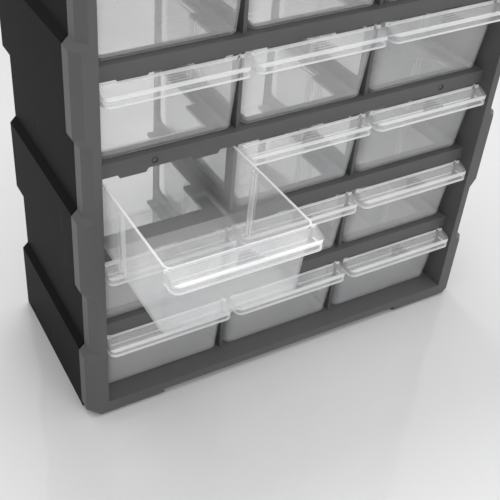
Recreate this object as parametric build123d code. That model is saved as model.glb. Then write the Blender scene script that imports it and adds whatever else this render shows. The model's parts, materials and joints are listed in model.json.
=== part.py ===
import os

from build123d import *

# Free-standing cabinet for small parts.  A moulded front frame and a
# corrugated outer shell stand round a rack of shelf strips, ledges and
# dividers, with one clear drawer in each bay.  One drawer is pulled out.
# Millimetres, +Z up.  X runs across the front.  The origin is on the ground
# in the middle of the footprint.  The pieces are modelled with y measured
# from the face of the front frame, towards the back, and moved when written.

# rack of bays
COLUMNS = 3
ROWS = 6
COLUMN_PITCH = 115.5
ROW_PITCH = 75.8
DIVIDER_THICK = 3.0
SHELF_THICK = 2.5
PULLED_COLUMN = 1
PULLED_ROW = 3
PULLED_OUT = 103.0

# front frame
FRAME_DEPTH = 17.5
FRAME_SIDE = 17.75
FRAME_CHAMFER = 6.5
CORNER_CUT = 7.0
BASE_HEIGHT = 14.0
HEAD_HEIGHT = 17.7
EDGE_BEVEL = 2.5
FOOT_HEIGHT = 3.5
FOOT_REACH = 69.0
FOOT_DEPTH = 20.0

# corrugated sides: wide bands with shallower grooves between them
GROOVE_COUNT = 3
GROOVE_STEP = 5.0
GROOVE_FALL = 5.0
GROOVE_FLAT = 57.0
GROOVE_RISE = 8.0
FIRST_BAND = 67.0
TOP_FALL = 4.5

# shell and linings behind the frame
SHELL_DEPTH = 142.5
SHELL_THICK = 2.2
SHELL_INSET = 0.5
PLATE_THICK = 2.5
LINER_THICK = 2.0
RAIL_DROP = 26.0
KEYHOLE_SPACING = 254.0
KEYHOLE_HEAD = 9.0
KEYHOLE_NECK = 4.6
KEYHOLE_RISE = 8.0

# shelf strips across the front and the ledges behind them
FASCIA_SETBACK = 12.5
FASCIA_THICK = 2.5
FASCIA_HEIGHT = 11.5
STRIP_DEPTH = 16.0
TAB_OFFSET = 29.0
TAB_TOP_WIDTH = 24.0
TAB_FOOT_WIDTH = 20.5
TAB_DROP = 3.0
LEDGE_LENGTH = 121.5
LEDGE_NARROW = 10.0
LEDGE_WIDE = 18.5
LEDGE_WIDE_LENGTH = 33.5
LEDGE_LEFT = 12.0
MARK_LEVEL = 3
MARK_PLACES = (-127.5, 130.3)
MARK_DIAMETER = 5.0
MARK_DEPTH = 0.4
MARK_DROP = 6.3

# windows in the dividers
WINDOW_BAND = 10.0
WINDOW_RADIUS = 6.0
DIVIDER_REAR = 7.8

# drawers
RIM_GAP = 1.1
DRAWER_WALL = 1.6
DRAWER_FLOOR = 1.8
DRAWER_CORNER = 6.0
DRAWER_ROUND = 4.0
FRONT_LEAN = 6.8
BACK_LEAN = 2.0
SIDE_LEAN = 1.5
SIDE_GAP = 1.75
TAB_GAP = 0.3
DRAWER_LENGTH = 132.8
HANDLE_LENGTH = 14.0
HANDLE_FALL = 5.0
HANDLE_SIDE_GAP = 0.75
HANDLE_SKIRT = 6.2
HANDLE_CORNER = 6.0
HANDLE_WALL = 1.6
DISH_MARGIN = 3.0
DISH_DEPTH = 0.5
BAR_COUNT = 4
BAR_FIRST = 8.0
BAR_GROWTH = 4.0
BAR_WIDTH = 1.1
BAR_PITCH = 2.2
BAR_HEIGHT = 0.9
BAR_SETBACK = 3.2
RIB_PLACE = 0.5
RIB_SLOT = 2.4
RIB_WIDTH = 1.6
RIB_HEIGHT = 1.5
RIB_TOP_GAP = 3.0
GATE_DIAMETER = 3.0
GATE_HEIGHT = 0.6
GATE_SETBACK = 15.0

# worked out from the sizes above
INNER_HALF = COLUMNS * COLUMN_PITCH / 2
WIDE_HALF = INNER_HALF + FRAME_SIDE
HEIGHT = BASE_HEIGHT + ROWS * ROW_PITCH - FASCIA_HEIGHT + HEAD_HEIGHT
HEAD_UNDERSIDE = HEIGHT - HEAD_HEIGHT
GROOVE_PITCH = (HEIGHT - TOP_FALL - FIRST_BAND) / GROOVE_COUNT
DEPTH = FRAME_DEPTH + SHELL_DEPTH
BACK_FACE = DEPTH - SHELL_THICK
SHEET_HALF = WIDE_HALF - SHELL_INSET - SHELL_THICK
BASE_PLATE_TOP = FOOT_HEIGHT + PLATE_THICK
TOP_PLATE_UNDERSIDE = HEIGHT - PLATE_THICK
STRIP_BACK = FASCIA_SETBACK + STRIP_DEPTH
LEDGE_BACK = STRIP_BACK + LEDGE_LENGTH
TAB_BACK = FASCIA_SETBACK + FASCIA_THICK
BAY_HALF = (COLUMN_PITCH - DIVIDER_THICK) / 2
DRAWER_HALF = BAY_HALF - SIDE_GAP
DIVIDERS = [(k - COLUMNS / 2) * COLUMN_PITCH for k in range(1, COLUMNS)]
DRAWER_HEIGHT = ROW_PITCH - FASCIA_HEIGHT - RIM_GAP
TAB_OVERLAP = TAB_DROP - RIM_GAP
LEAN_AT_TAB = FRONT_LEAN * TAB_OVERLAP / DRAWER_HEIGHT
DRAWER_FRONT_TOP = FASCIA_SETBACK - TAB_GAP - DRAWER_WALL - LEAN_AT_TAB
HANDLE_BACK = DRAWER_FRONT_TOP + DRAWER_WALL
HANDLE_TIP = HANDLE_BACK - HANDLE_LENGTH


def block(x0, x1, y0, y1, z0, z1):
    """Box between two opposite corners."""
    middle = Pos((x0 + x1) / 2, (y0 + y1) / 2, (z0 + z1) / 2)
    return middle * Box(x1 - x0, y1 - y0, z1 - z0)


def bay_centre(column):
    return (column - (COLUMNS + 1) / 2) * COLUMN_PITCH


def shelf_top(level):
    """Height of the surface that carries the row above this shelf."""
    return BASE_HEIGHT + level * ROW_PITCH


def front_view(points, front, depth):
    """Prism of an outline given as (x, z) points, from y = front backwards."""
    plane = Plane(origin=(0, front, 0), x_dir=(1, 0, 0), z_dir=(0, -1, 0))
    return extrude(plane * Polygon(*points, align=None), -depth)


def side_outline(inset, corner):
    """Right half of the cabinet seen from the front, moved in by inset."""
    wide = WIDE_HALF - inset
    points = [(0, 0), (wide - corner, 0)]
    if corner > 0:
        points.append((wide, corner))
    band_top = FIRST_BAND
    for _ in range(GROOVE_COUNT):
        flat_start = band_top + GROOVE_FALL
        flat_end = flat_start + GROOVE_FLAT
        points.append((wide, band_top))
        points.append((wide - GROOVE_STEP, flat_start))
        points.append((wide - GROOVE_STEP, flat_end))
        points.append((wide, flat_end + GROOVE_RISE))
        band_top += GROOVE_PITCH
    points.append((wide, band_top))
    points.append((wide - GROOVE_STEP, HEIGHT))
    points.append((0, HEIGHT))
    return points


def frame_half():
    """Right half of the frame as one block, with its chamfers, before its parting."""
    face = [(x - FRAME_CHAMFER if x > 0 else -FRAME_DEPTH, z) for x, z in side_outline(0, CORNER_CUT)]
    plane = Plane(origin=(0, 0, 0), x_dir=(1, 0, 0), z_dir=(0, -1, 0))
    reach = FRAME_DEPTH * 2 ** 0.5
    chamfered = extrude(plane * Polygon(*face, align=None), reach, dir=(1, 1, 0))
    half = front_view(side_outline(0, CORNER_CUT), 0, FRAME_DEPTH) & chamfered
    half -= block(0, INNER_HALF, 0, FRAME_DEPTH, BASE_HEIGHT, HEAD_UNDERSIDE)
    half -= block(0, WIDE_HALF - FOOT_REACH, 0, FRAME_DEPTH, 0, FOOT_HEIGHT)
    for low, x0, x1 in ((FOOT_HEIGHT, 0, WIDE_HALF - FOOT_REACH), (0, WIDE_HALF - FOOT_REACH, WIDE_HALF)):
        wedge = Plane.YZ.offset(x0) * Polygon((0, low), (EDGE_BEVEL, low), (0, low + EDGE_BEVEL), align=None)
        half -= extrude(wedge, x1 - x0)
    wedge = Plane.YZ * Polygon((0, HEIGHT), (EDGE_BEVEL, HEIGHT), (0, HEIGHT - EDGE_BEVEL), align=None)
    return half - extrude(wedge, WIDE_HALF)


def frame_pieces():
    """The front frame: two posts with their feet, a base bar and a head bar."""
    half = frame_half()
    post = half & block(INNER_HALF, WIDE_HALF, 0, FRAME_DEPTH, 0, HEIGHT)
    foot = half & block(0, INNER_HALF, 0, FRAME_DEPTH, 0, FOOT_HEIGHT)
    base = half & block(0, INNER_HALF, 0, FRAME_DEPTH, FOOT_HEIGHT, BASE_HEIGHT)
    head = half & block(0, INNER_HALF, 0, FRAME_DEPTH, HEAD_UNDERSIDE, HEIGHT)
    right = post + foot
    return {
        "frame_right": right,
        "frame_left": mirror(right, about=Plane.YZ),
        "frame_base": base + mirror(base, about=Plane.YZ),
        "frame_head": head + mirror(head, about=Plane.YZ),
    }


def shell_pieces():
    """Corrugated side sheets with a rear flange and rear foot, a top plate and a base plate."""
    outer = front_view(side_outline(SHELL_INSET, 0), FRAME_DEPTH, SHELL_DEPTH)
    hollow = front_view(side_outline(SHELL_INSET + SHELL_THICK, 0), FRAME_DEPTH, SHELL_DEPTH - SHELL_THICK)
    under_top = block(INNER_HALF, WIDE_HALF, FRAME_DEPTH, DEPTH, 0, TOP_PLATE_UNDERSIDE)
    sheet = (outer & under_top) - hollow
    foot_inside = WIDE_HALF - FOOT_REACH
    foot = block(foot_inside, SHEET_HALF, DEPTH - FOOT_DEPTH, DEPTH, 0, FOOT_HEIGHT)
    plate_edge = block(0, SHEET_HALF, BACK_FACE, DEPTH, FOOT_HEIGHT, BASE_PLATE_TOP)
    right = sheet - plate_edge + foot
    top = outer & block(0, WIDE_HALF, FRAME_DEPTH, DEPTH, TOP_PLATE_UNDERSIDE, HEIGHT)
    return {
        "shell_right": right,
        "shell_left": mirror(right, about=Plane.YZ),
        "shell_top": top + mirror(top, about=Plane.YZ),
        "shell_base": block(-SHEET_HALF, SHEET_HALF, FRAME_DEPTH, DEPTH, FOOT_HEIGHT, BASE_PLATE_TOP),
    }


def liner(side):
    """Flat inner side wall that the wall ledges are fixed to."""
    inner = side * INNER_HALF
    outer = side * (INNER_HALF + LINER_THICK)
    low, high = sorted((inner, outer))
    return block(low, high, FRAME_DEPTH, BACK_FACE, BASE_PLATE_TOP, TOP_PLATE_UNDERSIDE)


def back_rail():
    """Rail across the top of the open back, with two keyholes for wall screws."""
    low = TOP_PLATE_UNDERSIDE - RAIL_DROP
    rail = block(-INNER_HALF, INNER_HALF, BACK_FACE, DEPTH, low, TOP_PLATE_UNDERSIDE)
    plane = Plane(origin=(0, DEPTH, 0), x_dir=(1, 0, 0), z_dir=(0, -1, 0))
    head_z = low + KEYHOLE_HEAD
    for x in (-KEYHOLE_SPACING / 2, KEYHOLE_SPACING / 2):
        keyhole = Pos(x, head_z) * Circle(KEYHOLE_HEAD / 2)
        keyhole += Pos(x, head_z + KEYHOLE_RISE / 2) * Rectangle(KEYHOLE_NECK, KEYHOLE_RISE)
        keyhole += Pos(x, head_z + KEYHOLE_RISE) * Circle(KEYHOLE_NECK / 2)
        rail -= extrude(plane * keyhole, SHELL_THICK)
    return rail


def divider(x):
    """Upright panel between two columns, windowed at each row and slotted for the ledges."""
    left = x - DIVIDER_THICK / 2
    right = x + DIVIDER_THICK / 2
    panel = block(left, right, FRAME_DEPTH, BACK_FACE, BASE_HEIGHT, TOP_PLATE_UNDERSIDE)
    for row in range(ROWS):
        low = shelf_top(row) + WINDOW_BAND
        high = shelf_top(row + 1) - SHELF_THICK - WINDOW_BAND
        window = block(left, right, STRIP_BACK, BACK_FACE - DIVIDER_REAR, low, high)
        panel -= fillet(window.edges().filter_by(Axis.X), WINDOW_RADIUS)
    for level in range(1, ROWS):
        top = shelf_top(level)
        panel -= block(left, right, STRIP_BACK, LEDGE_BACK, top - SHELF_THICK, top)
    return panel


def tab_outline(centre, fascia_foot):
    """Hanging tab with slanted ends, as (x, z) points."""
    top = TAB_TOP_WIDTH / 2
    foot = TAB_FOOT_WIDTH / 2
    low = fascia_foot - TAB_DROP
    return [(centre - top, fascia_foot), (centre - foot, low), (centre + foot, low), (centre + top, fascia_foot)]


def shelf_strip(level):
    """Front edge of a shelf: an upright fascia with hanging tabs and a flat strip behind it."""
    top = shelf_top(level)
    fascia_foot = top - FASCIA_HEIGHT
    strip = block(-INNER_HALF, INNER_HALF, FASCIA_SETBACK, TAB_BACK, fascia_foot, top)
    strip += block(-INNER_HALF, INNER_HALF, FASCIA_SETBACK, STRIP_BACK, top - SHELF_THICK, top)
    for column in range(1, COLUMNS + 1):
        for offset in (-TAB_OFFSET, TAB_OFFSET):
            outline = tab_outline(bay_centre(column) + offset, fascia_foot)
            strip += front_view(outline, FASCIA_SETBACK, FASCIA_THICK)
    for x in DIVIDERS:
        half = DIVIDER_THICK / 2
        strip -= block(x - half, x + half, FRAME_DEPTH, STRIP_BACK, top - SHELF_THICK, top)
    if level == MARK_LEVEL:
        face = Plane(origin=(0, FASCIA_SETBACK, 0), x_dir=(1, 0, 0), z_dir=(0, -1, 0))
        for x in MARK_PLACES:
            mark = face * Pos(x, top - MARK_DROP) * Circle(MARK_DIAMETER / 2)
            strip -= extrude(mark, -MARK_DEPTH)
    return strip


def ledge(level, bay_on_left, x, bay_on_right):
    """Flat ledge at a wall or through a divider: a wide front for the bay on its left."""
    top = shelf_top(level)
    half = DIVIDER_THICK / 2 if bay_on_left and bay_on_right else 0
    right = x + half + LEDGE_LEFT if bay_on_right else x
    left = x - half - LEDGE_NARROW if bay_on_left else x
    plate = block(left, right, STRIP_BACK, LEDGE_BACK, top - SHELF_THICK, top)
    if bay_on_left:
        wide = x - half - LEDGE_WIDE
        plate += block(wide, right, STRIP_BACK, STRIP_BACK + LEDGE_WIDE_LENGTH, top - SHELF_THICK, top)
    return plate


def drawer_plan(z, inset):
    """Rounded outline of the drawer at height z above its floor, moved in by inset."""
    up = z / DRAWER_HEIGHT
    front = DRAWER_FRONT_TOP + FRONT_LEAN * (1 - up) + inset
    back = DRAWER_FRONT_TOP + FRONT_LEAN + DRAWER_LENGTH + BACK_LEAN * up - inset
    half = DRAWER_HALF - SIDE_LEAN * (1 - up) - inset
    outline = RectangleRounded(2 * half, back - front, DRAWER_CORNER - inset)
    return Pos(0, (front + back) / 2, z) * outline


def drawer_form(low, high, inset):
    """Leaning box with rounded upright corners and a rounded foot."""
    form = loft([drawer_plan(low, inset), drawer_plan(high, inset)], ruled=True)
    return fillet(form.edges().group_by(Axis.Z)[0], DRAWER_ROUND - inset)


def handle_form(inset, low):
    """Lip across the drawer's front, with its two front corners rounded and its top sloping down."""
    half = BAY_HALF - HANDLE_SIDE_GAP - inset
    tip = HANDLE_TIP + inset
    form = block(-half, half, tip, HANDLE_BACK, low, DRAWER_HEIGHT)
    corners = form.edges().filter_by(Axis.Z).group_by(Axis.Y)[0]
    form = fillet(corners, HANDLE_CORNER - inset)
    return form & handle_slope(inset, low)


def handle_slope(drop, low):
    """Everything under the sloping top of the handle, lowered by drop, down to height low."""
    back = (HANDLE_BACK, DRAWER_HEIGHT - drop)
    tip = (HANDLE_TIP, DRAWER_HEIGHT - HANDLE_FALL - drop)
    profile = Polygon(back, tip, (HANDLE_TIP, low), (HANDLE_BACK, low), align=None)
    return extrude(Plane.YZ * profile, BAY_HALF, both=True)


def handle():
    """The pull: a dished sloping top, a skirt round its front and ends, and short grip bars."""
    skirt_foot = DRAWER_HEIGHT - HANDLE_FALL - HANDLE_SKIRT
    pull = handle_form(0, skirt_foot) - handle_form(HANDLE_WALL, skirt_foot)
    dish = block(-BAY_HALF, BAY_HALF, HANDLE_TIP, HANDLE_BACK - DISH_MARGIN / 2, skirt_foot, DRAWER_HEIGHT)
    dish &= handle_form(DISH_MARGIN, skirt_foot) + Pos(0, 0, DISH_MARGIN) * handle_form(DISH_MARGIN, skirt_foot)
    pull -= dish - handle_slope(DISH_DEPTH, skirt_foot)
    for bar in range(BAR_COUNT):
        y = HANDLE_TIP + BAR_SETBACK + (BAR_COUNT - 1 - bar) * BAR_PITCH
        half = (BAR_FIRST + bar * BAR_GROWTH) / 2
        raised = handle_slope(DISH_DEPTH - BAR_HEIGHT, skirt_foot) - handle_slope(HANDLE_WALL / 2, skirt_foot)
        pull += raised & block(-half, half, y - BAR_WIDTH / 2, y + BAR_WIDTH / 2, skirt_foot, 2 * DRAWER_HEIGHT)
    return pull


def drawer_ribs(cavity):
    """Two pairs of upright ribs inside the side walls, a slot apart, for a cross partition."""
    lining = cavity - drawer_form(DRAWER_FLOOR, 2 * DRAWER_HEIGHT, DRAWER_WALL + RIB_HEIGHT)
    middle = DRAWER_FRONT_TOP + FRONT_LEAN + DRAWER_LENGTH * RIB_PLACE
    top = DRAWER_HEIGHT - RIB_TOP_GAP
    near = DRAWER_HALF / 2
    ribs = []
    for y in (middle - RIB_SLOT / 2 - RIB_WIDTH, middle + RIB_SLOT / 2):
        for x0, x1 in ((-DRAWER_HALF, -near), (near, DRAWER_HALF)):
            ribs.append(lining & block(x0, x1, y, y + RIB_WIDTH, DRAWER_FLOOR, top))
    return ribs


def drawer():
    """One clear drawer with its floor at z = 0, centred on x = 0."""
    cavity = drawer_form(DRAWER_FLOOR, 2 * DRAWER_HEIGHT, DRAWER_WALL)
    body = drawer_form(0, DRAWER_HEIGHT, 0) + handle() - cavity
    for rib in drawer_ribs(cavity):
        body += rib
    gate_y = DRAWER_FRONT_TOP + FRONT_LEAN + GATE_SETBACK
    gate = Pos(0, gate_y, DRAWER_FLOOR) * Cylinder(GATE_DIAMETER / 2, 2 * GATE_HEIGHT)
    return body + gate


def write(name, piece):
    """Write one piece, moved so that the origin is in the middle of the footprint."""
    export_step(Pos(0, -DEPTH / 2, 0) * piece, f"parts/{name}.step")


os.makedirs("parts", exist_ok=True)

for name, piece in (frame_pieces() | shell_pieces()).items():
    write(name, piece)
write("liner_left", liner(-1))
write("liner_right", liner(1))
floor = block(-INNER_HALF, INNER_HALF, FRAME_DEPTH, BACK_FACE, BASE_HEIGHT - SHELF_THICK, BASE_HEIGHT)
write("floor_plate", floor)
write("back_rail", back_rail())
write("back_sill", block(-INNER_HALF, INNER_HALF, BACK_FACE, DEPTH, BASE_PLATE_TOP, BASE_HEIGHT))

for number, x in enumerate(DIVIDERS, start=1):
    write(f"divider_{number}", divider(x))

for level in range(1, ROWS):
    write(f"shelf_strip_{level}", shelf_strip(level))
    uprights = [-INNER_HALF, *DIVIDERS, INNER_HALF]
    for number, x in enumerate(uprights, start=1):
        write(f"ledge_{level}_{number}", ledge(level, number > 1, x, number < len(uprights)))

one_drawer = drawer()
for row in range(1, ROWS + 1):
    for column in range(1, COLUMNS + 1):
        pulled = PULLED_OUT if (row, column) == (PULLED_ROW, PULLED_COLUMN) else 0
        place = Pos(bay_centre(column), -pulled, shelf_top(row - 1))
        write(f"drawer_r{row}_c{column}", place * one_drawer)
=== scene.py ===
import json
import math

import bpy
from mathutils import Euler, Matrix, Vector


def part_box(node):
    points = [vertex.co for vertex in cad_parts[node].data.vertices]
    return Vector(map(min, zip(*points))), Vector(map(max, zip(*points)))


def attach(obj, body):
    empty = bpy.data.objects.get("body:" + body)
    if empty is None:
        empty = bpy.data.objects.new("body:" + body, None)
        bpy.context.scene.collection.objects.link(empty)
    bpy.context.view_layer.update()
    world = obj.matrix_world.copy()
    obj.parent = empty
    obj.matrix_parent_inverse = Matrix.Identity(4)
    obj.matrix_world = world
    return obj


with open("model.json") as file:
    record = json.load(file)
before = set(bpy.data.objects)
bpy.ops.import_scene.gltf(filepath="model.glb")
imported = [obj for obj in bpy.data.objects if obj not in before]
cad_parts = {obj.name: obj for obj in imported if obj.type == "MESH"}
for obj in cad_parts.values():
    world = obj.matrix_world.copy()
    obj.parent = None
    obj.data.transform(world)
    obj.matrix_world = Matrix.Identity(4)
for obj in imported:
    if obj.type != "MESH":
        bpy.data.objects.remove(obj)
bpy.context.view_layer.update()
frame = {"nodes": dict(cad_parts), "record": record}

# sizes in metres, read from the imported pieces
FRONT_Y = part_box("frame_left")[0].y
DRAWER_LOW, DRAWER_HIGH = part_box("drawer_r1_c2")
DRAWER_HEIGHT = DRAWER_HIGH.z - DRAWER_LOW.z

# shallow round moulding marks on the middle shelf strip
MARKS = {"mould_mark_left": -0.1275, "mould_mark_right": 0.1303}
MARK_RADIUS = 0.0022
MARK_TUBE = 0.0003
MARK_DROP = 0.0063
MARK_STRIP = "shelf_strip_3"

# the same places on every drawer, from the low corner of its own box
DRAWER_SIZE = tuple(DRAWER_HIGH - DRAWER_LOW)
WALL = 0.0016
HANDLE_BACK = 0.0140
SKIRT_FOOT = 0.0520
LIP_EDGE = 0.0582
RIB_MIDDLE = 0.0855
RIB_OFFSET = 0.0020
RIB_REACH = 0.0066
EDGE_LINE = 0.0008
FOOT_LINE = (0.0008, 0.0040)
BAR_COUNT = 4
BAR_NEAR = 0.0032
BAR_PITCH = 0.0022
BAR_HALF = 0.00045
BAR_SHORTER = 0.0020
BAR_LONGEST = 0.0100

# the shell's front edge, where it meets the frame
SEAM_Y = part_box("shell_left")[0].y
# painted shade of the seam groove: how far back from that edge it reaches, and how far it stays fully dark
SEAM_SHADOW_WIDTH = 0.0030
SEAM_SHADOW_FULL = 0.6 * SEAM_SHADOW_WIDTH

# colours, linear light
SHELL_BLACK = (0.0062, 0.0062, 0.0066)
SHELL_WORN = (0.0125, 0.0125, 0.0130)
# painted shade for the groove between shell and frame
SEAM_PAINTED_SHADE = (0.0015, 0.0015, 0.0015)
FRAME_GREY = (0.092, 0.092, 0.094)
FRAME_WORN = (0.120, 0.120, 0.122)
CLEAR_WHITE = (0.97, 0.97, 0.97)
CLEAR_PALE = (0.86, 0.87, 0.88)
CLEAR_GREY = (0.30, 0.30, 0.31)
FLOOR_PALE = (0.69, 0.69, 0.695)

# indices of refraction; low ones keep the dark plastics from going grey at a glance
SHELL_IOR = 1.12
FRAME_IOR = 1.34
MARK_IOR = 1.20
CLEAR_IOR = 1.59
FLOOR_IOR = 1.50

# how much of the clear plastic hides what is behind it, from each cause; the glancing share is painted
# sheen, and the line, rib and foot shares are painted highlights
VEIL_EVERYWHERE = 0.09
VEIL_GLANCING_SHEEN = 0.45
VEIL_EDGE_HIGHLIGHTS = 0.55
VEIL_RIB_HIGHLIGHTS = 0.6
VEIL_BARS = 0.35
VEIL_FOOT_HIGHLIGHT = 0.10
VEIL_DRIFT = 0.05
VEIL_HAZE = 0.04

# the floor's half side, its drop below the cabinet's feet, and its polish
FLOOR_HALF = 12.0
FLOOR_DROP = 0.0005
FLOOR_ROUGHNESS = 0.04

# lamps: place, point aimed at, side of the square, watts, whether glossy surfaces show it
LAMPS = {
    "overhead": ((0.0, -0.2, 2.1), (0.0, -0.1, 0.2), 1.6, 15.0, False),
    "sparkle": ((0.1, 0.55, 2.2), (0.0, -0.1, 0.2), 0.45, 12.0, True),
    "front": ((0.3, -2.0, 1.4), (0.0, 0.0, 0.25), 1.2, 12.0, False),
}
WORLD_STRENGTH = 0.72

# the photograph's camera
FOCAL_PIXELS = 870.04
IMAGE_PIXELS = 500
CENTRE_U = 149.84
CENTRE_V = 196.33
CAMERA_PLACE = (-0.35242, -0.45261, 0.57661)
CAMERA_YAW = 25.419
CAMERA_PITCH = 35.863
CAMERA_ROLL = 0.457
SENSOR = 36.0


class Signal:
    """A shader socket that can be used in Python arithmetic."""

    def __init__(self, shader, socket):
        self.shader = shader
        self.socket = socket

    def _math(self, operation, *values):
        return self.shader.add("ShaderNodeMath", {"operation": operation}, dict(enumerate(values)))

    def __add__(self, other):
        return self._math("ADD", self, other)

    __radd__ = __add__

    def __mul__(self, other):
        return self._math("MULTIPLY", self, other)

    __rmul__ = __mul__

    def __sub__(self, other):
        return self._math("SUBTRACT", self, other)

    def __rsub__(self, other):
        return self._math("SUBTRACT", other, self)

    def __pow__(self, other):
        return self._math("POWER", self, other)

    def __gt__(self, other):
        return self._math("GREATER_THAN", self, other)

    def __lt__(self, other):
        return self._math("LESS_THAN", self, other)

    def magnitude(self):
        return self._math("ABSOLUTE", self)

    def line(self, middle, half_width):
        """1 within half_width of middle, 0 outside."""
        return (self - middle).magnitude() < half_width

    def clamped(self):
        return self.shader.add("ShaderNodeClamp", {}, {"Value": self})

    def ramp(self, low, high):
        """0 at low, 1 at high, smooth between."""
        settings = {"interpolation_type": "SMOOTHSTEP"}
        limits = {"Value": self, "From Min": low, "From Max": high}
        return self.shader.add("ShaderNodeMapRange", settings, limits)


class Shader:
    """One material and its nodes."""

    def __init__(self, name):
        self.material = bpy.data.materials.new(name)
        self.material.use_nodes = True
        self.tree = self.material.node_tree
        self.surface = self.tree.nodes["Principled BSDF"]

    def add(self, kind, settings, inputs, output=0):
        """Adds one node, sets it, feeds it and returns one of its outputs."""
        node = self.tree.nodes.new(kind)
        for key, value in settings.items():
            setattr(node, key, value)
        for key, value in inputs.items():
            self.feed(node.inputs[key], value)
        return Signal(self, node.outputs[output])

    def feed(self, socket, value):
        if isinstance(value, Signal):
            self.tree.links.new(value.socket, socket)
        elif isinstance(value, tuple) and len(value) == 3 and socket.type == "RGBA":
            socket.default_value = (*value, 1.0)
        else:
            socket.default_value = value

    def place(self):
        return self.add("ShaderNodeTexCoord", {}, {}, output="Object")

    def axis(self, name):
        return self.add("ShaderNodeSeparateXYZ", {}, {"Vector": self.place()}, output=name)

    def noise(self, scale, detail=3.0, stretch=None):
        where = self.place()
        if stretch:
            where = self.add("ShaderNodeVectorMath", {"operation": "MULTIPLY"}, {0: where, 1: stretch})
        return self.add("ShaderNodeTexNoise", {}, {"Vector": where, "Scale": scale, "Detail": detail})

    def blend(self, amount, first, second):
        """First colour where amount is 0, second where it is 1."""
        node = self.tree.nodes.new("ShaderNodeMix")
        node.data_type = "RGBA"
        self.feed(node.inputs[0], amount)
        self.feed(node.inputs[6], first)
        self.feed(node.inputs[7], second)
        return Signal(self, node.outputs[2])

    def bump(self, height, strength, distance):
        values = {"Height": height, "Strength": strength, "Distance": distance}
        return self.add("ShaderNodeBump", {}, values)

    def finish(self, **inputs):
        for key, value in inputs.items():
            self.feed(self.surface.inputs[key.replace("_", " ")], value)
        return self.material


def moulded_plastic(name, colour, worn, grain, roughness, bump_height, ior, painted_seam_shadow=False):
    """Opaque moulded plastic: fine spark texture, slow colour drift, faint scuffs.

    The last flag paints shade into the colour: the shadow line of the groove where the shell meets the
    frame.
    """
    shader = Shader(name)
    drift = shader.noise(9.0, 4.0)
    spark = shader.noise(grain, 2.0)
    scuff = shader.noise(160.0, 5.0, (1.0, 1.0, 0.12)).ramp(0.62, 0.80)
    tone = (drift.ramp(0.3, 0.7) * 0.5 + scuff * 0.25 + spark * 0.25).clamped()
    surface = shader.blend(tone, colour, worn)
    # painted shade: a dark band along the shell's front edge stands in for the shadow in the groove at the
    # frame
    if painted_seam_shadow:
        seam_shadow = 1.0 - (shader.axis("Y") - SEAM_Y).ramp(SEAM_SHADOW_FULL, SEAM_SHADOW_WIDTH)
        surface = shader.blend(seam_shadow, surface, SEAM_PAINTED_SHADE)
    return shader.finish(
        Base_Color=surface,
        Roughness=(roughness + drift * 0.08 + spark * 0.06 - scuff * 0.06).clamped(),
        Normal=shader.bump(spark + scuff * 0.2, 0.3, bump_height),
        IOR=ior,
    )


def clear_plastic():
    """Clear brittle plastic: a thin pale veil, with painted sheen at glancing angles and painted
    highlights along every edge.
    """
    shader = Shader("clear_drawer_plastic")
    share = shader.add("ShaderNodeTexCoord", {}, {}, output="Generated")
    local = shader.add("ShaderNodeVectorMath", {"operation": "MULTIPLY"}, {0: share, 1: DRAWER_SIZE})
    across, along, up = (
        shader.add("ShaderNodeSeparateXYZ", {}, {"Vector": local}, output=name) for name in ("X", "Y", "Z")
    )
    middle = DRAWER_SIZE[0] / 2
    from_side = middle - (across - middle).magnitude()
    on_handle = along < HANDLE_BACK
    # painted highlights: white, more opaque lines along the rim, the handle's edges and the side ribs
    rim_highlight = (up > DRAWER_HEIGHT - EDGE_LINE) * (1.0 - on_handle)
    lip_edge_highlight = up.line(LIP_EDGE, EDGE_LINE) * (along < 2 * WALL)
    lip_highlight = on_handle * (up.line(SKIRT_FOOT, EDGE_LINE) + lip_edge_highlight).clamped()
    crest_highlight = along.line(HANDLE_BACK, EDGE_LINE) * (up > DRAWER_HEIGHT - 2 * WALL)
    slot = (along - RIB_MIDDLE).magnitude().line(RIB_OFFSET, EDGE_LINE)
    rib_highlights = slot * (from_side < RIB_REACH) * (up > 2 * WALL)
    edge_highlights = (rim_highlight + lip_highlight + crest_highlight + rib_highlights * VEIL_RIB_HIGHLIGHTS).clamped()
    bars = 0.0
    for step in range(BAR_COUNT):
        reach = BAR_LONGEST - step * BAR_SHORTER
        bar = along.line(BAR_NEAR + step * BAR_PITCH, BAR_HALF) * across.line(middle, reach)
        bars = bar * (up > SKIRT_FOOT + WALL) + bars
    # painted sheen: whiter, more opaque plastic at glancing angles, which also brightens the rounded
    # vertical corners
    facing = shader.add("ShaderNodeLayerWeight", {}, {"Blend": 0.35}, output="Facing")
    drift = shader.noise(18.0, 2.0)
    haze = shader.noise(220.0, 4.0)
    flow = shader.noise(35.0, 1.0, (1.0, 0.25, 1.0))
    # painted highlight: a faint white line along the bottom edge
    foot_highlight = 1.0 - up.ramp(*FOOT_LINE)
    veil = VEIL_EVERYWHERE + facing ** 2.0 * VEIL_GLANCING_SHEEN
    veil = veil + edge_highlights * VEIL_EDGE_HIGHLIGHTS + bars * VEIL_BARS + foot_highlight * VEIL_FOOT_HIGHLIGHT
    veil = veil + drift * VEIL_DRIFT + haze.ramp(0.62, 0.80) * VEIL_HAZE
    tint = shader.blend(drift.ramp(0.35, 0.7), CLEAR_WHITE, CLEAR_PALE)
    return shader.finish(
        Base_Color=shader.blend(bars, tint, CLEAR_GREY),
        Roughness=(0.06 + haze * 0.06 + drift * 0.03).clamped(),
        Alpha=veil.clamped(),
        Normal=shader.bump(flow, 0.06, 0.0004),
        IOR=CLEAR_IOR,
    )


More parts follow.
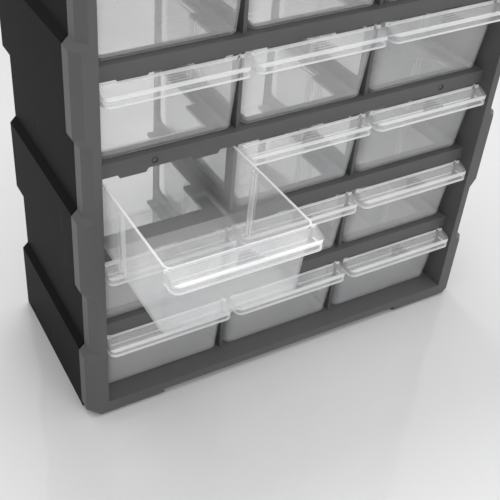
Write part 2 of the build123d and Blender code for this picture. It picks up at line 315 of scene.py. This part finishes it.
def dress_nodes():
    """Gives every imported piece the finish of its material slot."""
    shell = moulded_plastic(
        "shell_plastic", SHELL_BLACK, SHELL_WORN, 1500.0, 0.46, 0.0003, SHELL_IOR, painted_seam_shadow=True
    )
    grey = moulded_plastic("frame_plastic", FRAME_GREY, FRAME_WORN, 1900.0, 0.36, 0.0002, FRAME_IOR)
    finishes = {"shell_black": shell, "frame_grey": grey, "clear_drawer": clear_plastic()}
    slots = {part["node"]: part["material_slot"] for part in frame["record"]["subparts"]}
    for name, piece in frame["nodes"].items():
        piece.data.materials.clear()
        piece.data.materials.append(finishes[slots[name]])


def ring_mesh(name, centre, radius, tube, around=48, across=12):
    """Fine ring that lies in an upright plane facing the front."""
    points = []
    for i in range(around):
        turn = 2 * math.pi * i / around
        for k in range(across):
            roll = 2 * math.pi * k / across
            reach = radius + tube * math.cos(roll)
            depth = tube * math.sin(roll)
            offset = (reach * math.cos(turn), depth, reach * math.sin(turn))
            points.append(tuple(c + o for c, o in zip(centre, offset)))
    faces = []
    for i in range(around):
        ahead = (i + 1) % around
        for k in range(across):
            up = (k + 1) % across
            faces.append((i * across + k, i * across + up, ahead * across + up, ahead * across + k))
    mesh = bpy.data.meshes.new(name)
    mesh.from_pydata(points, [], faces)
    mesh.shade_smooth()
    return mesh


def add_mark_shade_rings():
    """A raised ring round each moulding mark, darker than the strip as painted shade at the mark's
    recessed edge.
    """
    low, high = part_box(MARK_STRIP)
    # painted shade: the ring takes the shell's black, darker than the grey strip
    finish = moulded_plastic("mark_painted_shade", SHELL_BLACK, SHELL_WORN, 1900.0, 0.40, 0.0001, MARK_IOR)
    for name, x in MARKS.items():
        mesh = ring_mesh(name, (x, low.y + MARK_TUBE, high.z - MARK_DROP), MARK_RADIUS, MARK_TUBE)
        mark = bpy.data.objects.new(name, mesh)
        mesh.materials.append(finish)
        bpy.context.scene.collection.objects.link(mark)
        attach(mark, "cabinet")


def add_floor():
    """Plain pale floor with a soft reflection."""
    half = FLOOR_HALF
    corners = [(-half, -half, 0), (half, -half, 0), (half, half, 0), (-half, half, 0)]
    mesh = bpy.data.meshes.new("floor")
    mesh.from_pydata(corners, [], [(0, 1, 2, 3)])
    floor = bpy.data.objects.new("floor", mesh)
    bpy.context.scene.collection.objects.link(floor)
    floor.location.z = -FLOOR_DROP
    shader = Shader("floor_pale")
    mesh.materials.append(shader.finish(Base_Color=FLOOR_PALE, Roughness=FLOOR_ROUGHNESS, IOR=FLOOR_IOR))


def add_lamp(name, place, target, size, power, mirrored):
    """Soft square lamp that points at target; only a mirrored one shows in glossy surfaces."""
    data = bpy.data.lights.new(name, "AREA")
    data.shape = "SQUARE"
    data.size = size
    data.energy = power
    lamp = bpy.data.objects.new(name, data)
    lamp.location = place
    lamp.visible_glossy = mirrored
    direction = Vector(target) - Vector(place)
    lamp.rotation_euler = direction.to_track_quat("-Z", "Y").to_euler()
    bpy.context.scene.collection.objects.link(lamp)


def add_light():
    """Even white surroundings and the three lamps."""
    world = bpy.data.worlds.new("studio")
    bpy.context.scene.world = world
    world.use_nodes = True
    background = world.node_tree.nodes["Background"]
    background.inputs["Color"].default_value = (1.0, 1.0, 1.0, 1.0)
    background.inputs["Strength"].default_value = WORLD_STRENGTH
    for name, settings in LAMPS.items():
        add_lamp(name, *settings)


def add_camera():
    """The photograph's camera, from its own focal length and centre."""
    data = bpy.data.cameras.new("camera")
    data.sensor_width = SENSOR
    data.lens = FOCAL_PIXELS * SENSOR / IMAGE_PIXELS
    data.shift_x = (IMAGE_PIXELS / 2 - CENTRE_U) / IMAGE_PIXELS
    data.shift_y = -(IMAGE_PIXELS / 2 - CENTRE_V) / IMAGE_PIXELS
    camera = bpy.data.objects.new("camera", data)
    x, y, z = CAMERA_PLACE
    camera.location = (x, y + FRONT_Y, z)
    aim = (math.radians(90 - CAMERA_PITCH), 0, math.radians(-CAMERA_YAW))
    turn = Euler(aim, "XYZ").to_matrix()
    roll = Matrix.Rotation(math.radians(CAMERA_ROLL), 3, "Z")
    camera.rotation_euler = (turn @ roll).to_euler()
    bpy.context.scene.collection.objects.link(camera)
    bpy.context.scene.camera = camera


dress_nodes()
add_mark_shade_rings()
add_floor()
add_light()
add_camera()

scene = bpy.context.scene
scene.view_settings.view_transform = "Standard"
scene.cycles.transparent_max_bounces = 32
